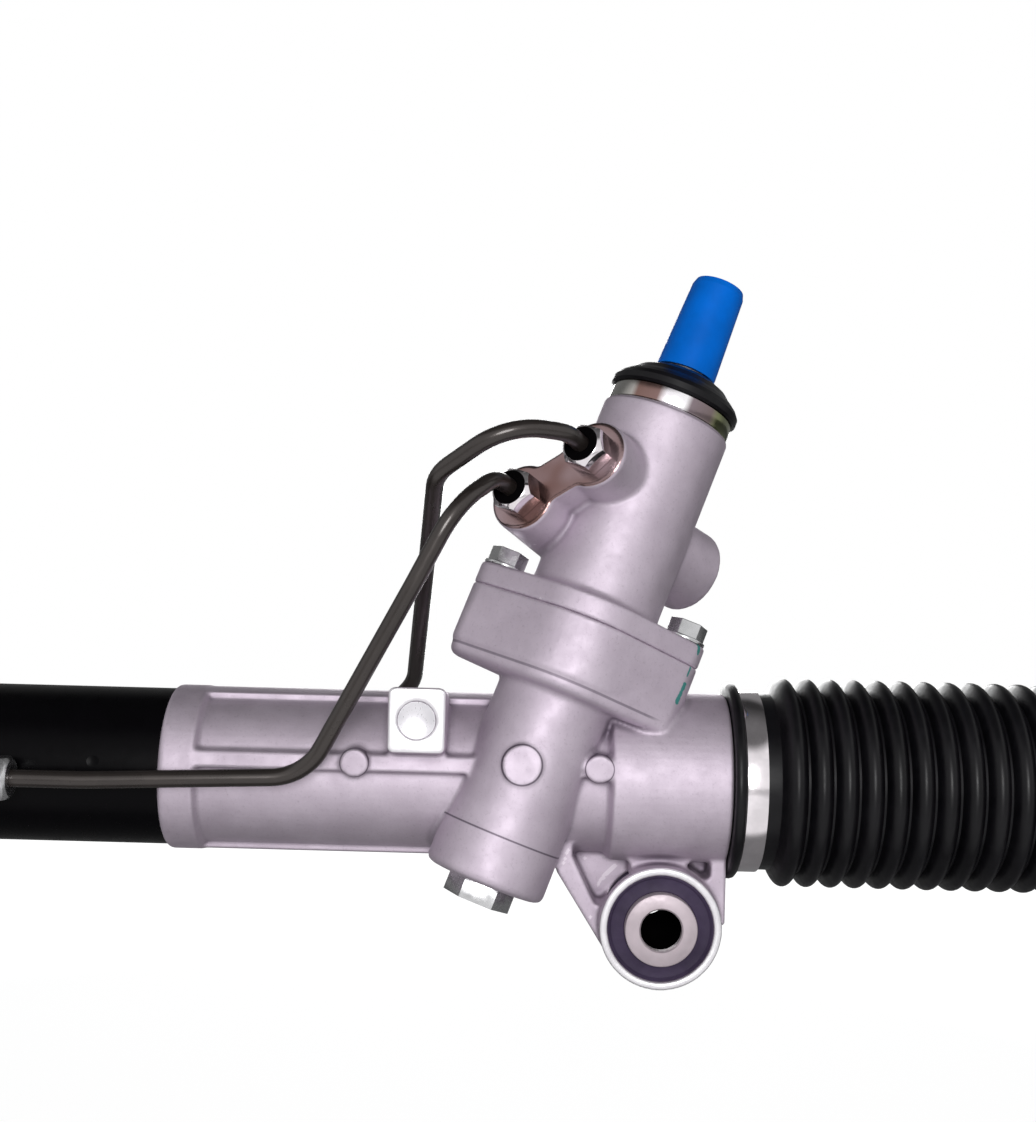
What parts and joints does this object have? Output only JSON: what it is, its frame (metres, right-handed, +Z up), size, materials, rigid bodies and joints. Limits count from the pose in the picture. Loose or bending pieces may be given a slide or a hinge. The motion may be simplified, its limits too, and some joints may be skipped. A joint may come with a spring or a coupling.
{
  "type": "hydraulic steering rack",
  "caption": "Hydraulic power steering rack: cast housing and cylinder tube, helical pinion with rotary valve, toothed rack bar, corrugated boots and tie rods.",
  "frame": {"origin": "centre of the main mounting bush's bore", "axes": "+X along the rack to the pinion-end tie rod, +Y along the bush's bore to the back, +Z up"},
  "size_m": [1.1852, 0.1126, 0.2519],
  "materials": {
    "cast_aluminium": "as cast, matt",
    "black_paint": "gloss black paint",
    "steel": "machined",
    "zinc_plate": "zinc plated",
    "bright_steel": "bright",
    "sleeve_steel": "dull zinc plated",
    "machined_aluminium": "machined",
    "black_rubber": "moulded, slight sheen",
    "bush_rubber": "matt",
    "plastic_liner": "matt",
    "brown_pipe": "satin dark brown coating",
    "tie_rod_coat": "satin black coating",
    "blue_plastic": "moulded plastic"
  },
  "bodies": {
    "housing": {"rack_housing": "cast_aluminium", "cylinder_tube": "black_paint", "bulkhead": "steel", "inner_rack_seal": "black_rubber", "end_stopper": "machined_aluminium", "outer_rack_seal": "black_rubber", "rack_end_bush": "plastic_liner", "stopper_lock_ring": "steel", "main_bush_rubber": "bush_rubber", "main_bush_sleeve": "sleeve_steel", "left_mount_bracket": "black_paint", "left_bush_rubber": "bush_rubber", "left_bush_sleeve": "sleeve_steel", "rack_guide": "machined_aluminium", "guide_liner": "plastic_liner", "guide_spring": "steel", "guide_cap": "steel", "guide_lock_nut": "steel", "valve_housing": "cast_aluminium", "flange_bolts": "zinc_plate", "flange_o_ring": "black_rubber", "lower_bearing_outer_race": "steel", "lower_bearing_balls": "steel", "pinion_needle_bearing": "steel", "pinion_oil_seal": "black_rubber", "bottom_plug": "zinc_plate", "input_shaft_bearing": "steel", "input_shaft_seal": "black_rubber", "top_ring": "bright_steel", "dust_cover": "black_rubber", "valve_pipe_nuts": "bright_steel", "cylinder_pipe_nuts": "zinc_plate", "upper_pipe": "brown_pipe", "lower_pipe": "brown_pipe", "pad_plug": "machined_aluminium", "right_boot": "black_rubber", "left_boot": "black_rubber", "boot_band_clamps": "bright_steel"},
    "pinion": {"pinion": "steel", "pinion_nut": "steel", "lower_bearing_inner_race": "steel", "valve_sleeve": "steel", "valve_sleeve_rings": "plastic_liner", "torsion_bar": "steel"},
    "input_shaft": {"input_shaft": "steel", "shaft_cap": "blue_plastic"},
    "rack": {"rack_bar": "steel", "piston": "steel", "piston_ring": "plastic_liner", "right_inner_socket": "steel", "left_inner_socket": "steel", "ball_seats": "plastic_liner", "lock_washers": "steel"},
    "right_tie_rod": {"right_tie_rod": "tie_rod_coat", "right_jam_nut": "zinc_plate", "right_boot_clip": "bright_steel"},
    "left_tie_rod": {"left_tie_rod": "tie_rod_coat", "left_jam_nut": "zinc_plate", "left_boot_clip": "bright_steel"}
  },
  "joints": [
    {"name": "rack_slide", "type": "slide", "parent": "housing", "child": "rack", "axis": [1, 0, 0], "range_m": [-0.07, 0.07], "deforming": ["right_boot", "left_boot"]},
    {"name": "pinion_turn", "type": "hinge", "parent": "housing", "child": "pinion", "pos_m": [-0.0476, -0.01685, 0.05087], "axis": [0.3502, 0.1465, 0.9251], "range_deg": [-530, 530]},
    {"name": "input_twist", "type": "hinge", "parent": "pinion", "child": "input_shaft", "pos_m": [-0.00558, 0.00074, 0.16189], "axis": [0.3502, 0.1465, 0.9251], "range_deg": [-4, 4], "stiffness_Nm_per_rad": 60},
    {"name": "right_tie_rod_swing", "type": "hinge", "parent": "rack", "child": "right_tie_rod", "pos_m": [0.097, 0, 0.0482], "axis": [0, 1, 0], "range_deg": [-15, 15]},
    {"name": "left_tie_rod_swing", "type": "hinge", "parent": "rack", "child": "left_tie_rod", "pos_m": [-0.5082, 0, 0.0482], "axis": [0, 1, 0], "range_deg": [-15, 15]}
  ],
  "couplings": [
    {"joint": "pinion_turn", "follows": "rack_slide", "rad_per_m": -130.9}
  ]
}
